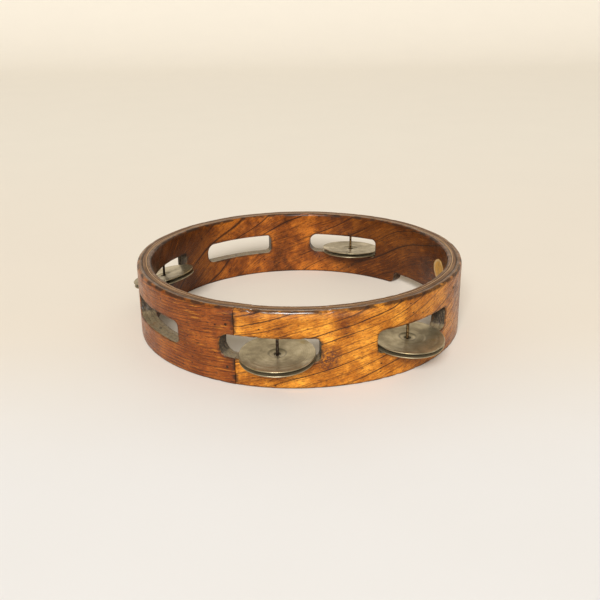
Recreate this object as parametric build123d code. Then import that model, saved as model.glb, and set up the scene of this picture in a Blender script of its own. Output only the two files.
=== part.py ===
from build123d import *

import math
import os
from dataclasses import dataclass

# A headless wooden tambourine: three bent plies make the rim, six slots are
# routed through it, and pairs of dished jingles ride on steel pins in the slots.
# Millimetres.  The origin is on the rim's axis at the face it rests on, and +Z
# runs up the axis.  Angles are measured round the rim in degrees from the front
# (-Y), positive towards +X.

# --- rim -------------------------------------------------------------------
rim_radius = 127.0
rim_depth = 55.6
outer_ply_thickness = 3.9
middle_ply_thickness = 3.8
inner_ply_thickness = 3.6
outer_edge_round = 1.2
inner_edge_bevel = 1.6
inner_bevel_height = 2.6
lower_inner_round = 0.8
seam_gap = 0.3
outer_seam_angle = -20.2
middle_seam_angle = 64.4
inner_seam_angle = 15.0

# --- jingles and their pins --------------------------------------------------
jingle_radius = 25.8
jingle_sheet = 0.8
jingle_cone_rise = 0.25
boss_rise = 0.8
boss_foot_radius = 6.5
boss_top_radius = 4.0
usual_lean = 4.5
side_left_lean = 13.0
pin_radius = 1.0
pin_hole_clearance = 1.3
pin_embed = 10.0
pin_point = 2.5
pin_tip_radius = 0.2
pin_head_radius = 1.7
pin_head_thickness = 0.8
jingle_clearance = 0.3
ceiling_clearance = 0.6

# --- slots -------------------------------------------------------------------
slot_height = 16.8
slot_spare = 8.0
slot_tight_corner = 4.0
slot_round_corner = 7.5
corner_share = 0.45

# --- hand-hold notch in the lower edge -----------------------------------------
notch_start = 78.0
notch_end = 132.6
notch_height = 9.8
notch_corner = 4.0

# --- blank oval label ----------------------------------------------------------
label_length = 27.0
label_height = 18.4
label_thickness = 0.3
label_angle = 97.0
label_level = 33.5

# --- small tacks that hold the ends of the plies --------------------------------
tack_head_radius = 1.3
tack_head_thickness = 0.7
tack_proud = 0.2
tack_shank_radius = 0.5
tack_length = 8.0
tack_to_seam = 5.3
tack_from_edge = 10.9

# --- worked out ----------------------------------------------------------------
wall = outer_ply_thickness + middle_ply_thickness + inner_ply_thickness
outer_glue_radius = rim_radius - outer_ply_thickness
inner_glue_radius = outer_glue_radius - middle_ply_thickness
bore_radius = rim_radius - wall
wall_middle_radius = rim_radius - wall / 2
slot_floor = (rim_depth - slot_height) / 2
slot_ceiling = slot_floor + slot_height
slot_half_length = jingle_radius + slot_spare
jingle_hole_radius = pin_radius + pin_hole_clearance
jingle_rise = jingle_cone_rise + boss_rise
cut_margin = 2.0


@dataclass
class Slot:
    """One slot of the rim: its centre, how far round from it the pin stands, in
    millimetres along the wall, which end is cut rounder, if it still has jingles, and
    how far they lean outwards at rest."""

    name: str
    centre: float
    pin_shift: float
    rounder_end: int
    fitted: bool
    lean: float = usual_lean


slots = [
    Slot("front", -9.6, 5.1, -1, True),
    Slot("front_right", 40.4, -5.1, 0, True),
    Slot("rear_right", 159.0, -5.2, 1, True),
    Slot("rear_left", -151.0, 0.0, 1, False),
    Slot("side_left", -106.0, -5.0, 1, True, side_left_lean),
    Slot("front_left", -58.0, 1.7, -1, False),
]


def round_the_rim(angle, shape):
    """Turn a shape built on the +X side to its angle round the rim."""
    return Rot(0, 0, angle - 90) * shape


def arc_angle(length, radius=wall_middle_radius):
    """Angle, in degrees, of a length along an arc."""
    return math.degrees(length / radius)


def ring(inner, outer, low, high):
    """Plain ring between two radii and two levels."""
    level = (low + high) / 2
    disc = Pos(0, 0, level) * Cylinder(outer, high - low)
    return disc - Pos(0, 0, level) * Cylinder(inner, high - low + cut_margin)


def sector(arc, low, high):
    """Piece of the wall, centred on +X and a little thicker than the wall."""
    section = Rectangle(wall + 2 * cut_margin, high - low)
    section = Pos(wall_middle_radius, (low + high) / 2) * section
    return Rot(0, 0, -arc / 2) * revolve(Plane.XZ * section, Axis.Z, revolution_arc=arc)


def radial_rod(angle, level, radius, inner, outer):
    """Rod pointing out of the axis, from one radius to another."""
    rod = Pos((inner + outer) / 2, 0, level) * Rot(0, 90, 0) * Cylinder(radius, outer - inner)
    return round_the_rim(angle, rod)


def window(centre, half_length, low, high, start_corner, end_corner):
    """Cutter for an opening through the wall, with its own corner radius at each end."""
    half_arc = arc_angle(half_length)
    block = sector(2 * half_arc, low, high)
    ends = block.edges().filter_by(GeomType.LINE).filter_by(Axis.Z, reverse=True)
    ends = ends.sort_by(Axis.Y)
    block = fillet(ends[:2], start_corner)
    ends = block.edges().filter_by(GeomType.LINE).filter_by(Axis.Z, reverse=True)
    ends = ends.sort_by(Axis.Y)
    block = fillet(ends[-2:], end_corner)
    return round_the_rim(centre, block)


def slot_cutter(slot):
    """Opening that one pair of jingles lives in."""
    largest_corner = corner_share * slot_height
    tight = min(slot_tight_corner, largest_corner)
    rounder = min(slot_round_corner, largest_corner)
    return window(
        slot.centre,
        slot_half_length,
        slot_floor,
        slot_ceiling,
        rounder if slot.rounder_end < 0 else tight,
        rounder if slot.rounder_end > 0 else tight,
    )


def notch_cutter():
    """Hand-hold: the lower edge is cut away between two slots."""
    below = -notch_corner - cut_margin
    centre = (notch_start + notch_end) / 2
    half_length = math.radians(notch_end - notch_start) / 2 * wall_middle_radius
    return window(centre, half_length, below, notch_height, notch_corner, notch_corner)


def pin_angle(slot):
    """Where a slot's pin stands round the rim."""
    return slot.centre + arc_angle(slot.pin_shift)


def pin(slot):
    """Wire nail driven up through the slot, its head flush in the lower edge."""
    tip_level = slot_ceiling + pin_embed
    shank_length = tip_level - pin_point
    head = Pos(0, 0, pin_head_thickness / 2) * Cylinder(pin_head_radius, pin_head_thickness)
    shank = Pos(0, 0, shank_length / 2) * Cylinder(pin_radius, shank_length)
    point = Pos(0, 0, tip_level - pin_point / 2) * Cone(pin_radius, pin_tip_radius, pin_point)
    nail = Pos(wall_middle_radius, 0, 0) * (head + shank + point)
    return round_the_rim(pin_angle(slot), nail)


def tacks():
    """Small tacks: two beside the outer seam, one over the middle ply's seam."""
    places = [
        (outer_seam_angle - arc_angle(tack_to_seam), rim_depth - tack_from_edge - tack_head_radius),
        (outer_seam_angle - arc_angle(tack_to_seam), tack_from_edge + tack_head_radius),
        (middle_seam_angle - arc_angle(tack_to_seam), rim_depth - tack_from_edge + tack_head_radius),
    ]
    face = rim_radius + tack_proud
    under_head = face - tack_head_thickness
    return [
        radial_rod(angle, level, tack_head_radius, under_head, face)
        + radial_rod(angle, level, tack_shank_radius, face - tack_length, face)
        for angle, level in places
    ]


def bent_ply(section_sketch, seam_angle):
    """One ply: a ring closed by a butt seam, less every opening, pin and tack."""
    ply = revolve(section_sketch, Axis.Z)
    slit_depth = wall + cut_margin
    slit = Pos(wall_middle_radius, 0, rim_depth / 2) * Box(slit_depth, seam_gap, rim_depth + cut_margin)
    ply -= round_the_rim(seam_angle, slit)
    for slot in slots:
        ply -= slot_cutter(slot)
        ply -= pin(slot)
    ply -= notch_cutter()
    for tack in tacks():
        ply -= tack
    return ply


def ply_section(inner, outer):
    """Square-cornered section of a ply, in the plane of radius and height."""
    return Pos((inner + outer) / 2, rim_depth / 2) * Rectangle(outer - inner, rim_depth)


def outer_ply():
    """Outside ply, both of its outer edges eased."""
    section = ply_section(outer_glue_radius, rim_radius)
    outer_corners = section.vertices().sort_by(Axis.X)[-2:]
    return bent_ply(Plane.XZ * fillet(outer_corners, outer_edge_round), outer_seam_angle)


def middle_ply():
    """Core ply, which holds the pins."""
    section = ply_section(inner_glue_radius, outer_glue_radius)
    return bent_ply(Plane.XZ * section, middle_seam_angle)


def inner_ply():
    """Inside ply, bevelled along the top of the bore."""
    section = ply_section(bore_radius, inner_glue_radius)
    top_corner = section.vertices().sort_by(Axis.Y)[-2:].sort_by(Axis.X)[0]
    section = chamfer(top_corner, inner_bevel_height, inner_edge_bevel)
    low_corner = section.vertices().sort_by(Axis.Y)[:2].sort_by(Axis.X)[0]
    section = fillet(low_corner, lower_inner_round)
    return bent_ply(Plane.XZ * section, inner_seam_angle)


def dished_disc():
    """Jingle standing on its rim: a shallow cone that rises to a pierced boss."""
    underside = [
        (jingle_radius, 0),
        (boss_foot_radius, jingle_cone_rise),
        (boss_top_radius, jingle_rise),
        (jingle_hole_radius, jingle_rise),
    ]
    top = [(radius, height + jingle_sheet) for radius, height in reversed(underside)]
    section = make_face(Polyline(*underside, *top, close=True))
    return revolve(Plane.XZ * section, Axis.Z)


def rest_level(slot):
    """Level at the pin of the lower jingle's rim plane, when it lies on the slot's outer lip."""
    return slot_floor + jingle_clearance + wall / 2 * math.tan(math.radians(slot.lean))


def jingle_place(slot):
    """Frame of a slot's stack: on the pin, at rest, leaning outwards."""
    lean = Pos(wall_middle_radius, 0, rest_level(slot)) * Rot(0, slot.lean, 0)
    return Rot(0, 0, pin_angle(slot) - 90) * lean


def lower_jingle(slot):
    """Jingle that rests on the slot's floor, boss up."""
    return jingle_place(slot) * dished_disc()


def upper_jingle(slot):
    """Its partner, boss down on the lower one's boss."""
    boss_to_boss = 2 * (jingle_rise + jingle_sheet) + jingle_clearance
    return jingle_place(slot) * Pos(0, 0, boss_to_boss) * Rot(180, 0, 0) * dished_disc()


def oval_label():
    """Thin blank oval stuck to the bore beside the hand-hold."""
    ellipse = Plane.YZ * Pos(0, label_level) * Ellipse(label_length / 2, label_height / 2)
    prism = extrude(ellipse, rim_radius)
    sheet = ring(bore_radius - label_thickness, bore_radius, 0, rim_depth)
    return round_the_rim(label_angle, sheet & prism)


def jingle_travel(slot):
    """How far a stack can rise before its inner side meets the slot's ceiling."""
    stack = 2 * (jingle_rise + jingle_sheet) + jingle_clearance
    sagitta = wall_middle_radius - math.sqrt(wall_middle_radius**2 - jingle_radius**2)
    inner_lift = (wall / 2 + sagitta) * math.tan(math.radians(slot.lean))
    return slot_ceiling - ceiling_clearance - rest_level(slot) - stack - inner_lift


def main():
    pieces = {
        "outer_ply": outer_ply(),
        "middle_ply": middle_ply(),
        "inner_ply": inner_ply(),
        "rim_tacks": Compound(children=tacks()),
        "oval_label": oval_label(),
    }
    for slot in slots:
        if slot.fitted:
            pieces["pin_" + slot.name] = pin(slot)
            pieces["lower_jingle_" + slot.name] = lower_jingle(slot)
            pieces["upper_jingle_" + slot.name] = upper_jingle(slot)
            print(f"{slot.name}: the jingles' travel is {jingle_travel(slot):.2f} mm")
    os.makedirs("parts", exist_ok=True)
    for name, piece in pieces.items():
        export_step(piece, os.path.join("parts", name + ".step"))


main()
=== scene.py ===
"""Looks of a headless wooden tambourine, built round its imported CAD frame.

Blender units are metres.  Sizes are named in millimetres and turned into metres with MM.
Angles go round the rim in degrees from the front (-Y), positive towards +X.
"""

import math
import random
from dataclasses import dataclass

import bmesh
import bpy
from mathutils import Matrix, Vector, noise


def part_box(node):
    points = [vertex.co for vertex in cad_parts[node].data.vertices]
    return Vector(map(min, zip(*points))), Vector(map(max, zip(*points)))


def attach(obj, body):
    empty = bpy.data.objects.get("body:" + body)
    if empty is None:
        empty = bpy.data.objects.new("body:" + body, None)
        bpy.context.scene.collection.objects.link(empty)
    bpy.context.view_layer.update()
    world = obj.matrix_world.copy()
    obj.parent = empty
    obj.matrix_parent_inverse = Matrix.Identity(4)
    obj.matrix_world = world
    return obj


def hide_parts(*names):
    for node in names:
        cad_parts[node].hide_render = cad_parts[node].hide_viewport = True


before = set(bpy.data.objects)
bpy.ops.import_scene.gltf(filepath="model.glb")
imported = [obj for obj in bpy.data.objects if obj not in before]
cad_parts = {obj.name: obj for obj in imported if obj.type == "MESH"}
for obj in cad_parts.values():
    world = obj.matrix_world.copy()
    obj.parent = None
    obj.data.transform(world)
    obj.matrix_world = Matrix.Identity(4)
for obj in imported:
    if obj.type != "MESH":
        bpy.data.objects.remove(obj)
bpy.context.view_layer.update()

MM = 0.001

# --- sizes read from the frame ---
rim_low, rim_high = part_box("outer_ply")
core_low, core_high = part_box("middle_ply")
lining_low, lining_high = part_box("inner_ply")
RIM_RADIUS = (rim_high.x - rim_low.x) / 2
OUTER_GLUE_RADIUS = (core_high.x - core_low.x) / 2
INNER_GLUE_RADIUS = (lining_high.x - lining_low.x) / 2
RIM_DEPTH = rim_high.z - rim_low.z

# --- sizes that the frame's boxes don't give, as in the CAD model ---
WALL = 11.3 * MM
SEAM_GAP = 0.3 * MM
OUTER_SEAM = -20.2
MIDDLE_SEAM = 64.4
INNER_SEAM = 15.0
SLOT_HEIGHT = 16.8 * MM
SLOT_HALF_LENGTH = 33.8 * MM
TIGHT_CORNER = 4.0 * MM
ROUND_CORNER = 7.5 * MM
NOTCH_START = 78.0
NOTCH_END = 132.6
NOTCH_HEIGHT = 9.8 * MM
NOTCH_CORNER = 4.0 * MM
JINGLE_RADIUS = 25.8 * MM
JINGLE_SHEET = 0.8 * MM
JINGLE_CONE_RISE = 0.25 * MM
BOSS_RISE = 0.8 * MM
BOSS_FOOT_RADIUS = 6.5 * MM
BOSS_TOP_RADIUS = 4.0 * MM
JINGLE_HOLE_RADIUS = 2.3 * MM
USUAL_LEAN = 4.5
SIDE_LEFT_LEAN = 13.0
JINGLE_CLEARANCE = 0.3 * MM
PIN_RADIUS = 1.0 * MM
LABEL_THICKNESS = 0.3 * MM
LABEL_ANGLE = 97.0
TACK_HEAD_RADIUS = 1.3 * MM
TACK_TO_SEAM = 5.3 * MM
TACK_FROM_EDGE = 10.9 * MM

# --- worked out ---
BORE_RADIUS = RIM_RADIUS - WALL
WALL_MIDDLE = RIM_RADIUS - WALL / 2
SLOT_FLOOR = (RIM_DEPTH - SLOT_HEIGHT) / 2
SLOT_CEILING = SLOT_FLOOR + SLOT_HEIGHT
BOSS_TO_BOSS = 2 * (JINGLE_CONE_RISE + BOSS_RISE + JINGLE_SHEET) + JINGLE_CLEARANCE
PLY_LENGTH = 2 * math.pi * WALL_MIDDLE


@dataclass
class Slot:
    """A slot's centre in degrees, its corner radii at the two ends, and what it holds.

    A fitted slot's jingles lean outwards, in degrees.  An empty slot's pin hole is shifted along
    the wall from the slot's centre.
    """

    name: str
    centre: float
    start_corner: float
    end_corner: float
    fitted: bool = True
    lean: float = USUAL_LEAN
    hole_shift: float = 0.0


SLOTS = [
    Slot("rear_left", -151.0, TIGHT_CORNER, ROUND_CORNER, fitted=False),
    Slot("side_left", -106.0, TIGHT_CORNER, ROUND_CORNER, lean=SIDE_LEFT_LEAN),
    Slot("front_left", -58.0, ROUND_CORNER, TIGHT_CORNER, fitted=False, hole_shift=1.7 * MM),
    Slot("front", -9.6, ROUND_CORNER, TIGHT_CORNER),
    Slot("front_right", 40.4, TIGHT_CORNER, TIGHT_CORNER),
    Slot("rear_right", 159.0, TIGHT_CORNER, ROUND_CORNER),
]
FITTED_SLOTS = [slot for slot in SLOTS if slot.fitted]
EMPTY_SLOTS = [slot for slot in SLOTS if not slot.fitted]


def arc_angle(length):
    """Angle in degrees of a length along the middle of the wall."""
    return math.degrees(length / WALL_MIDDLE)


def length_at(angle):
    """Length along the middle of the wall, from the front to an angle."""
    return math.radians(angle) * WALL_MIDDLE


def polar(angle, radius, height):
    """Point at an angle round the rim."""
    turn = math.radians(angle)
    return Vector((radius * math.sin(turn), -radius * math.cos(turn), height))


def angle_of(point):
    """Angle round the rim of a point, from -180 to 180 degrees."""
    return math.degrees(math.atan2(point.x, -point.y))


def smooth_step(low, high, value):
    """0 below low, 1 above high, and a smooth rise between."""
    share = min(max((value - low) / (high - low), 0.0), 1.0)
    return share * share * (3 - 2 * share)


def skin(sheet, rows, closed=True):
    """Quads between rows of vertices, each row closed into a ring or not."""
    for row, following in zip(rows, rows[1:]):
        for step in range(len(row) if closed else len(row) - 1):
            after = (step + 1) % len(row)
            sheet.faces.new([row[step], row[after], following[after], following[step]])


def add_object(name, sheet, material):
    """Turns a bmesh into an object with its material, shaded smooth."""
    mesh = bpy.data.meshes.new(name)
    sheet.to_mesh(mesh)
    sheet.free()
    piece = bpy.data.objects.new(name, mesh)
    bpy.context.scene.collection.objects.link(piece)
    mesh.materials.append(material)
    for polygon in mesh.polygons:
        polygon.use_smooth = True
    return piece


# === Materials ===


class Graph:
    """A material's node tree, with short calls for the nodes that these materials use."""

    def __init__(self, name):
        self.material = bpy.data.materials.new(name)
        self.material.use_nodes = True
        self.nodes = self.material.node_tree.nodes
        self.links = self.material.node_tree.links
        self.shader = self.nodes["Principled BSDF"]

    def feed(self, socket, value):
        """Links an output to a socket, or sets the socket's own value."""
        if isinstance(value, bpy.types.NodeSocket):
            self.links.new(value, socket)
        else:
            socket.default_value = value

    def fill(self, node, **values):
        """Feeds a node's inputs, named with underscores for spaces."""
        for key, value in values.items():
            self.feed(node.inputs[key.replace("_", " ")], value)

    def set(self, **values):
        self.fill(self.shader, **values)

    def make(self, kind, *values, **named):
        """A new node, with values for its first inputs and for named ones."""
        node = self.nodes.new("ShaderNode" + kind)
        for socket, value in zip(node.inputs, values):
            self.feed(socket, value)
        self.fill(node, **named)
        return node

    def math(self, operation, *values):
        node = self.make("Math", *values)
        node.operation = operation
        return node.outputs[0]

    def times(self, first, second):
        return self.math("MULTIPLY", first, second)

    def minus(self, first, second):
        return self.math("SUBTRACT", first, second)

    def times_plus(self, first, second, third):
        """The first times the second, plus the third."""
        return self.math("MULTIPLY_ADD", first, second, third)

    def most(self, *values):
        """The largest of some values."""
        largest = values[0]
        for value in values[1:]:
            largest = self.math("MAXIMUM", largest, value)
        return largest

    def attribute(self, name, output="Vector"):
        node = self.make("Attribute")
        node.attribute_name = name
        return node.outputs[output]

    def object_point(self):
        return self.make("TexCoord").outputs["Object"]

    def split(self, vector):
        return self.make("SeparateXYZ", vector).outputs

    def join(self, *parts):
        return self.make("CombineXYZ", *parts).outputs[0]

    def noise(self, vector, scale=1.0, detail=3.0, roughness=0.55):
        node = self.make("TexNoise", vector, Scale=scale, Detail=detail, Roughness=roughness)
        return node.outputs["Fac"]

    def pattern(self, first, second, third=0.0, stretch=(1.0, 1.0), **look):
        """Noise over three coordinates, the first two scaled by stretch."""
        place = self.join(self.times(first, stretch[0]), self.times(second, stretch[1]), third)
        return self.noise(place, **look)

    def cells(self, vector, scale):
        """Distance to the nearest of a set of scattered points."""
        return self.make("TexVoronoi", vector, Scale=scale).outputs["Distance"]

    def distance(self, vector, place):
        """Distance from a fixed place."""
        node = self.make("VectorMath", vector, place)
        node.operation = "DISTANCE"
        return node.outputs["Value"]

    def span(self, value, low, high, start, end):
        """Maps low..high smoothly to start..end, and holds it outside."""
        node = self.make("MapRange", value, low, high, start, end)
        node.interpolation_type = "SMOOTHSTEP"
        return node.outputs[0]

    def fade(self, value, none, full, share=1.0):
        """0 where the value is none, the share where it is full, and smooth between the two."""
        return self.span(value, none, full, 0.0, share)

    def ramp(self, value, stops):
        """Colour ramp through (position, colour) stops."""
        node = self.make("ValToRGB", value)
        elements = node.color_ramp.elements
        while len(elements) < len(stops):
            elements.new(0.5)
        for element, (position, colour) in zip(elements, stops):
            element.position = position
            element.color = (*colour, 1.0)
        return node.outputs[0]

    def mix(self, share, first, second):
        """Blends two colours."""
        node = self.make("Mix", share)
        node.data_type = "RGBA"
        for socket, colour in ((node.inputs[6], first), (node.inputs[7], second)):
            self.feed(socket, (*colour, 1.0) if isinstance(colour, tuple) else colour)
        return node.outputs[2]

    def bump(self, height, strength, distance, under=None):
        node = self.make("Bump", Strength=strength, Distance=distance, Height=height)
        if under is not None:
            self.fill(node, Normal=under)
        return node.outputs[0]


@dataclass
class Timber:
    """Colours, linear, and grain of one ply.  Lengths are in millimetres.

    The ply starts at its seam.  The first colours and slope are the start's, and the far ones
    are those of its other end, which meets the start at the seam.  Away from its lit centre, a
    share of the ply's length, the wood is darkened with painted shade where the wall turns away
    from the light.  Its side takes a pinkish painted sheen of grazing light, and bruise_along is
    where a dark bruise lies.
    """

    pale: tuple
    warm: tuple
    deep: tuple
    far_pale: tuple
    far_warm: tuple
    line: tuple
    lit_centre: float
    side_shade: float
    side_sheen: float
    bruise_along: float
    ring_spacing: float
    start_slope: float
    end_slope: float
    wander: float
    seed: float


OUTER_TIMBER = Timber(
    pale=(0.90, 0.370, 0.040),
    warm=(0.48, 0.155, 0.011),
    deep=(0.15, 0.034, 0.003),
    far_pale=(0.40, 0.110, 0.014),
    far_warm=(0.21, 0.048, 0.006),
    line=(0.016, 0.004, 0.002),
    lit_centre=0.09,
    side_shade=0.0,
    side_sheen=0.55,
    bruise_along=61.0,
    ring_spacing=7.0,
    start_slope=0.30,
    end_slope=0.02,
    wander=11.0,
    seed=3.0,
)
INNER_TIMBER = Timber(
    pale=(0.56, 0.170, 0.018),
    warm=(0.24, 0.060, 0.006),
    deep=(0.055, 0.014, 0.002),
    far_pale=(0.50, 0.150, 0.017),
    far_warm=(0.21, 0.052, 0.006),
    line=(0.022, 0.007, 0.002),
    lit_centre=0.49,
    side_shade=0.76,
    side_sheen=0.0,
    bruise_along=330.0,
    ring_spacing=17.0,
    start_slope=-0.22,
    end_slope=-0.85,
    wander=46.0,
    seed=11.0,
)

# --- colours, linear ---
EDGE_BROWN = (0.190, 0.090, 0.034)
EDGE_DARK = (0.070, 0.028, 0.009)
EDGE_PALE = (0.50, 0.30, 0.140)
# Dark of old dirt, also used for painted shade in the slots, the notch and at the foot
DIRT_AND_SHADE_DARK = (0.030, 0.015, 0.008)
SLOT_GREY = (0.230, 0.175, 0.100)
SLOT_DARK = (0.040, 0.031, 0.026)
# Pinkish colours of the painted sheen of grazing light on the rim's side
SHEEN_DEEP = (0.15, 0.050, 0.020)
SHEEN_PALE = (0.42, 0.155, 0.060)
BRUISE_BROWN = (0.060, 0.022, 0.016)

SHEET_DARK = (0.24, 0.190, 0.108)
SHEET_GREY = (0.39, 0.320, 0.195)
SHEET_BRIGHT = (0.55, 0.465, 0.305)
YELLOW_BLOOM = (0.38, 0.26, 0.07)
SOOT_GREY = (0.12, 0.10, 0.065)
BOSS_RING_GRIME_SHADE = (0.10, 0.085, 0.05)
HOLE_GRIME = (0.10, 0.08, 0.05)
TURNED_MARK = (0.22, 0.19, 0.12)

LABEL_GOLD_DARK = (0.48, 0.24, 0.040)
LABEL_GOLD = (0.80, 0.44, 0.075)
LABEL_TAN_DARK = (0.55, 0.35, 0.15)
LABEL_TAN = (0.78, 0.54, 0.26)

PAPER_FRONT = (0.83, 0.825, 0.83)
# Darker, warmer paper of the painted shade under the object
PAPER_SHADED = (0.82, 0.755, 0.665)
PAPER_BEHIND = (0.835, 0.785, 0.70)
PAPER_FIBRE = (0.70, 0.66, 0.60)

# --- the rim's sizes in millimetres, which is what the wood's nodes work in ---
DEPTH = RIM_DEPTH / MM
LENGTH = PLY_LENGTH / MM
FLOOR = SLOT_FLOOR / MM
CEILING = SLOT_CEILING / MM

# --- where dirt, wear and painted shade lie, in millimetres: none at the first number, full at the second ---
EDGE_DIRT = (2.2, 0.3)
SEAM_DIRT = (3.2, 0.3)
# Painted contact shade along the foot
FOOT_SHADE = (1.6, 0.5)
BROW_DIRT = (DEPTH - 2.6, DEPTH - 1.2)
RUBBED_EDGE = (1.0, 0.0)
BRUISE_REACH = (12.0, 3.0)
BRUISE_LEVEL = FLOOR + 2.0
FLOOR_PALER = (FLOOR + 3.0, FLOOR + 0.8)
CEILING_SHADE = (CEILING - 5.0, CEILING - 1.5)
EDGE_NOT_SLOT = (DEPTH / 2 - 12.0, DEPTH / 2 - 10.0)
# Painted shade on the end walls of the hand-hold notch
NOTCH_WALL_FOOT = (1.0, 2.5)
NOTCH_WALL_TOP = (8.5, 7.5)
VARNISH_ROLL = (DEPTH - 6.5, DEPTH - 3.5)
VARNISH_FRONT = (-112 * MM, -124 * MM)
# Reach of the painted shade of the empty pin holes
PIN_HOLE_EDGE = (1.4 * MM, 0.9 * MM)

# Lines on the top and bottom edges: radius and width in millimetres, colour and strength
GLUE_LINES = (
    (OUTER_GLUE_RADIUS / MM, 0.55, DIRT_AND_SHADE_DARK, 0.9),
    (INNER_GLUE_RADIUS / MM + 0.5, 0.45, EDGE_PALE, 0.8),
    (INNER_GLUE_RADIUS / MM - 0.2, 0.25, DIRT_AND_SHADE_DARK, 0.8),
)


def in_millimetres(graph, attribute):
    """An attribute's three parts; the grain's are along the ply, up it, and through it."""
    return [graph.times(part, 1 / MM) for part in graph.split(graph.attribute(attribute))]


def across_rings(graph, timber, along, up, through):
    """Coordinate across the growth rings, which climb along the ply and wander a little."""
    quick_wander, ring_lean = 1.3, 0.7
    mean_slope = (timber.start_slope + timber.end_slope) / 2
    slope_swing = (timber.start_slope - timber.end_slope) / 2
    half_turn = graph.math("SINE", graph.times(along, math.pi / LENGTH))
    climb = graph.times_plus(half_turn, slope_swing * LENGTH / math.pi, graph.times(along, mean_slope))
    slow = graph.pattern(along, up, timber.seed, stretch=(0.6, 1.0), scale=1 / 60, detail=1.0)
    quick = graph.pattern(along, up, timber.seed, scale=1 / 16)
    across = graph.times_plus(slow, timber.wander, graph.minus(up, climb))
    across = graph.times_plus(quick, quick_wander, across)
    return graph.times_plus(through, ring_lean, across)


def ring_lines(graph, across, spacing, width):
    """Dark early-wood line once in each ring, sharp on one side and soft on the other."""
    unevenness = 0.8
    wander = graph.noise(graph.join(across, 0.0), scale=0.11, detail=2.0)
    uneven = graph.times_plus(wander, spacing * unevenness, across)
    phase = graph.math("FRACT", graph.math("DIVIDE", uneven, spacing))
    sharp_side = graph.fade(phase, 0.0, width / 3)
    soft_side = graph.fade(phase, width, width / 2)
    return graph.times(sharp_side, soft_side)


def rim_edge(graph, along, up, through):
    """Top and bottom edges: colour with the plies' glue lines, and the fibres under it."""
    fibre = graph.pattern(along, through, up, stretch=(0.035, 1.3), detail=4.0, roughness=0.6)
    colour = graph.ramp(fibre, ((0.34, EDGE_DARK), (0.56, EDGE_BROWN), (0.82, EDGE_PALE)))
    for radius, width, line_colour, share in GLUE_LINES:
        away = graph.math("ABSOLUTE", graph.minus(through, radius))
        colour = graph.mix(graph.fade(away, width, width / 2, share), colour, line_colour)
    # Painted shade: the hand-hold notch's end walls are darkened.
    notch_shade = graph.times(graph.fade(up, *NOTCH_WALL_FOOT), graph.fade(up, *NOTCH_WALL_TOP, 0.85))
    return graph.mix(notch_shade, colour, DIRT_AND_SHADE_DARK), fibre


def slot_wall(graph, along, up, through):
    """Slot walls: grey end grain, a paler floor, the empty pin holes painted dark as their shade, and
    painted shade under the ceiling.
    """
    end_grain = graph.pattern(along, up, through, stretch=(0.5, 0.5), detail=4.0, roughness=0.65)
    wall_colour = graph.ramp(end_grain, ((0.42, SLOT_DARK), (0.85, SLOT_GREY)))
    floor_colour = graph.ramp(end_grain, ((0.25, SLOT_DARK), (0.52, SLOT_GREY)))
    # Paler towards the floor.
    colour = graph.mix(graph.fade(up, *FLOOR_PALER), wall_colour, floor_colour)
    # Painted shade: each empty pin hole is a dark spot on the slot's floor.
    for slot in EMPTY_SLOTS:
        hole = polar(slot.centre + arc_angle(slot.hole_shift), WALL_MIDDLE, SLOT_FLOOR)
        away = graph.distance(graph.object_point(), hole)
        colour = graph.mix(graph.fade(away, *PIN_HOLE_EDGE), colour, DIRT_AND_SHADE_DARK)
    warm_spot = graph.pattern(along, up, through, scale=1 / 8, detail=2.0)
    colour = graph.mix(graph.fade(warm_spot, 0.60, 0.72, 0.6), colour, EDGE_BROWN)
    # Painted shade under the slot's ceiling.
    return graph.mix(graph.fade(up, *CEILING_SHADE, 0.85), colour, DIRT_AND_SHADE_DARK)


def cut_face(graph, along, up, through):
    """Colour of the cut faces, edges and slot walls, and the edges' fibres."""
    edge_colour, fibre = rim_edge(graph, along, up, through)
    slot_colour = slot_wall(graph, along, up, through)
    from_middle = graph.math("ABSOLUTE", graph.minus(up, DEPTH / 2))
    return graph.mix(graph.fade(from_middle, *EDGE_NOT_SLOT), slot_colour, edge_colour), fibre


def timber_colour(graph, timber, along, up, across, far):
    """Broad colours of a ply: patches, a stretch darkened with painted shade, a side tinted with painted
    sheen, and streaks.
    """
    patches = graph.pattern(along, up, timber.seed, scale=1 / 26, detail=5.0, roughness=0.65)
    near_stops = ((0.33, timber.deep), (0.47, timber.warm), (0.63, timber.pale))
    far_stops = ((0.32, timber.deep), (0.48, timber.far_warm), (0.70, timber.far_pale))
    colour = graph.mix(far, graph.ramp(patches, near_stops), graph.ramp(patches, far_stops))

    # Painted shade: away from the lit centre the wood darkens towards its deep colour.
    from_centre = graph.minus(graph.math("DIVIDE", along, LENGTH), timber.lit_centre)
    shaded = graph.fade(graph.math("ABSOLUTE", from_centre), 0.04, 0.12, timber.side_shade)
    colour = graph.mix(shaded, colour, timber.deep)
    # Painted sheen: the side turns pinkish where grazing light sheens off the varnish, but not at the far
    # end.
    sheened = graph.fade(along, LENGTH * 0.13, LENGTH * 0.28, timber.side_sheen)
    sheened = graph.times(sheened, graph.minus(1.0, far))
    colour = graph.mix(sheened, colour, graph.mix(patches, SHEEN_DEEP, SHEEN_PALE))

    streaks = graph.pattern(along, across, stretch=(0.05, 0.9), detail=6.0, roughness=0.72)
    colour = graph.mix(graph.fade(streaks, 0.50, 0.68, 0.75), colour, timber.deep)
    return graph.mix(graph.fade(streaks, 0.46, 0.30, 0.60), colour, timber.pale)


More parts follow.
